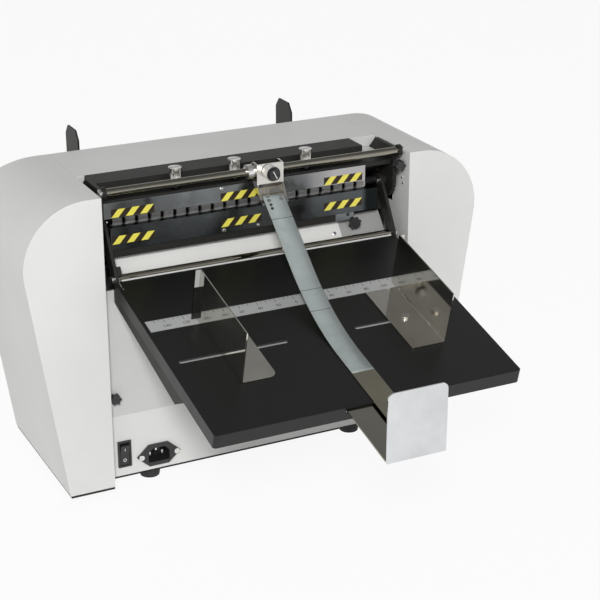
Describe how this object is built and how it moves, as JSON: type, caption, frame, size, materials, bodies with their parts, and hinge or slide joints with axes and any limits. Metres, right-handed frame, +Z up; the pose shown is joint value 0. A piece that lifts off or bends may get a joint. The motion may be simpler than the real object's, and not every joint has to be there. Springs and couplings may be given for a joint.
{
  "type": "paper folding machine",
  "caption": "Desktop powered sheet folding and creasing machine with rounded side covers, sloping delivery tray, sliding side guides, paper stop and spring hold-down strip.",
  "frame": {"origin": "on the table, under the middle of the overall box", "axes": "+X to the right seen from the delivery tray, +Y from the tray to the feed side, +Z up"},
  "size_m": [0.5144, 0.5606, 0.3418],
  "materials": {
    "cover_paint": "fine textured light grey paint",
    "white_paint": "white paint",
    "black_paint": "satin black paint",
    "steel": "polished stainless sheet",
    "rod_steel": "polished ground rod",
    "screw_steel": "bright zinc",
    "guard_sheet": "warm grey satin sheet",
    "ruler_metal": "satin anodised",
    "rubber": "matte",
    "black_plastic": "satin moulded",
    "gear_plastic": "natural",
    "bronze": "sintered",
    "motor_paint": "dark grey"
  },
  "bodies": {
    "machine": {"base_plate": "black_paint", "rubber_feet": "rubber", "front_panel": "cover_paint", "left_cover": "cover_paint", "right_cover": "cover_paint", "top_cover": "cover_paint", "rear_panel": "cover_paint", "left_cheek": "black_paint", "right_cheek": "black_paint", "tie_rods": "rod_steel", "lower_beam": "black_paint", "top_channel": "black_paint", "upper_guard": "guard_sheet", "lower_guard": "guard_sheet", "ramp_plate": "white_paint", "upper_rod": "rod_steel", "lower_rod": "rod_steel", "left_arm": "black_paint", "right_arm": "black_paint", "frame_screws": "screw_steel", "tray": "black_paint", "ruler": "ruler_metal", "rocker_bezel": "black_plastic", "inlet": "black_plastic", "inlet_pins": "screw_steel", "infeed_table": "black_paint", "bushes": "bronze", "drive_motor": "motor_paint", "drive_belt": "rubber"},
    "left_guide_slider": {"left_guide": "steel", "left_guide_screw": "screw_steel"},
    "right_guide_slider": {"right_guide": "steel", "right_guide_screw": "screw_steel"},
    "stop_slider": {"paper_stop": "steel"},
    "clamp_slider": {"clamp_sleeve": "rod_steel"},
    "strip_arm": {"clamp_bracket": "steel", "hold_down_strip": "steel", "strip_screws": "screw_steel"},
    "clamp_screw": {"clamp_knob": "black_plastic"},
    "thumb_1": {"thumb_screw_1": "screw_steel"},
    "thumb_2": {"thumb_screw_2": "screw_steel"},
    "thumb_3": {"thumb_screw_3": "screw_steel"},
    "side_knob_body": {"side_knob": "black_plastic"},
    "ramp_knob_body": {"ramp_knob": "black_plastic"},
    "panel_knob_body": {"panel_knob": "black_plastic"},
    "rocker_body": {"rocker": "black_plastic"},
    "left_feed_slider": {"left_feed_guide": "black_paint"},
    "right_feed_slider": {"right_feed_guide": "black_paint"},
    "exit_upper": {"exit_upper_roller": "rubber", "exit_upper_gear": "gear_plastic"},
    "exit_lower": {"exit_lower_roller": "rubber", "exit_lower_gear": "gear_plastic"},
    "blade": {"blade_shaft": "rod_steel", "creasing_blades": "steel", "blade_gear": "gear_plastic"},
    "anvil": {"anvil_shaft": "rod_steel", "anvil_gear": "gear_plastic", "driven_pulley": "gear_plastic"},
    "idler": {"idler_gear": "gear_plastic"},
    "motor_rotor": {"motor_pulley": "gear_plastic"}
  },
  "joints": [
    {"name": "left_guide_slide", "type": "slide", "parent": "machine", "child": "left_guide_slider", "axis": [1, 0, 0], "range_m": [-0.05, 0.02]},
    {"name": "right_guide_slide", "type": "slide", "parent": "machine", "child": "right_guide_slider", "axis": [-1, 0, 0], "range_m": [-0.045, 0.02]},
    {"name": "stop_slide", "type": "slide", "parent": "machine", "child": "stop_slider", "axis": [0, -0.9707, -0.2402], "range_m": [-0.03, 0.05]},
    {"name": "clamp_slide", "type": "slide", "parent": "machine", "child": "clamp_slider", "axis": [1, 0, 0], "range_m": [-0.04, 0.025]},
    {"name": "strip_swing", "type": "hinge", "parent": "clamp_slider", "child": "strip_arm", "pos_m": [0.011, 0.05365, 0.3315], "axis": [-1, 0, 0], "range_deg": [0, 70]},
    {"name": "clamp_knob_turn", "type": "hinge", "parent": "strip_arm", "child": "clamp_screw", "pos_m": [0.009, 0.04435, 0.3325], "axis": [0, -1, 0], "range_deg": [0, 360]},
    {"name": "thumb_screw_1_turn", "type": "hinge", "parent": "machine", "child": "thumb_1", "pos_m": [-0.082, 0.07435, 0.319], "axis": [0, 0, 1], "range_deg": [0, 360]},
    {"name": "thumb_screw_2_turn", "type": "hinge", "parent": "machine", "child": "thumb_2", "pos_m": [-0.016, 0.07435, 0.319], "axis": [0, 0, 1], "range_deg": [0, 360]},
    {"name": "thumb_screw_3_turn", "type": "hinge", "parent": "machine", "child": "thumb_3", "pos_m": [0.066, 0.07435, 0.319], "axis": [0, 0, 1], "range_deg": [0, 360]},
    {"name": "side_knob_turn", "type": "hinge", "parent": "machine", "child": "side_knob_body", "pos_m": [0.167, 0.06035, 0.315], "axis": [0, -1, 0], "range_deg": [0, 360]},
    {"name": "ramp_knob_turn", "type": "hinge", "parent": "machine", "child": "ramp_knob_body", "pos_m": [0.12, 0.06917, 0.24745], "axis": [0, -0.766, 0.6428], "range_deg": [0, 360]},
    {"name": "panel_knob_turn", "type": "hinge", "parent": "machine", "child": "panel_knob_body", "pos_m": [-0.1662, 0.05235, 0.109], "axis": [0, -1, 0], "range_deg": [0, 360]},
    {"name": "rocker_tilt", "type": "hinge", "parent": "machine", "child": "rocker_body", "pos_m": [-0.1579, 0.05635, 0.0422], "axis": [-1, 0, 0], "range_deg": [0, 16]},
    {"name": "left_feed_slide", "type": "slide", "parent": "machine", "child": "left_feed_slider", "axis": [1, 0, 0], "range_m": [-0.022, 0.05]},
    {"name": "right_feed_slide", "type": "slide", "parent": "machine", "child": "right_feed_slider", "axis": [-1, 0, 0], "range_m": [-0.022, 0.05]},
    {"name": "anvil_spin", "type": "hinge", "parent": "machine", "child": "anvil", "pos_m": [0, 0.14035, 0.287], "axis": [1, 0, 0], "continuous": true},
    {"name": "blade_spin", "type": "hinge", "parent": "machine", "child": "blade", "pos_m": [0, 0.14035, 0.303], "axis": [1, 0, 0], "continuous": true},
    {"name": "idler_spin", "type": "hinge", "parent": "machine", "child": "idler", "pos_m": [0.173, 0.11835, 0.287], "axis": [1, 0, 0], "continuous": true},
    {"name": "exit_lower_spin", "type": "hinge", "parent": "machine", "child": "exit_lower", "pos_m": [0, 0.09635, 0.287], "axis": [1, 0, 0], "continuous": true},
    {"name": "exit_upper_spin", "type": "hinge", "parent": "machine", "child": "exit_upper", "pos_m": [0, 0.09635, 0.303], "axis": [1, 0, 0], "continuous": true},
    {"name": "motor_spin", "type": "hinge", "parent": "machine", "child": "motor_rotor", "pos_m": [-0.169, 0.14035, 0.087], "axis": [1, 0, 0], "continuous": true}
  ],
  "couplings": [
    {"joint": "blade_spin", "follows": "anvil_spin", "ratio": -1},
    {"joint": "idler_spin", "follows": "anvil_spin", "ratio": -0.57143},
    {"joint": "exit_lower_spin", "follows": "anvil_spin", "ratio": 1},
    {"joint": "exit_upper_spin", "follows": "anvil_spin", "ratio": -1},
    {"joint": "motor_spin", "follows": "anvil_spin", "ratio": 1}
  ]
}
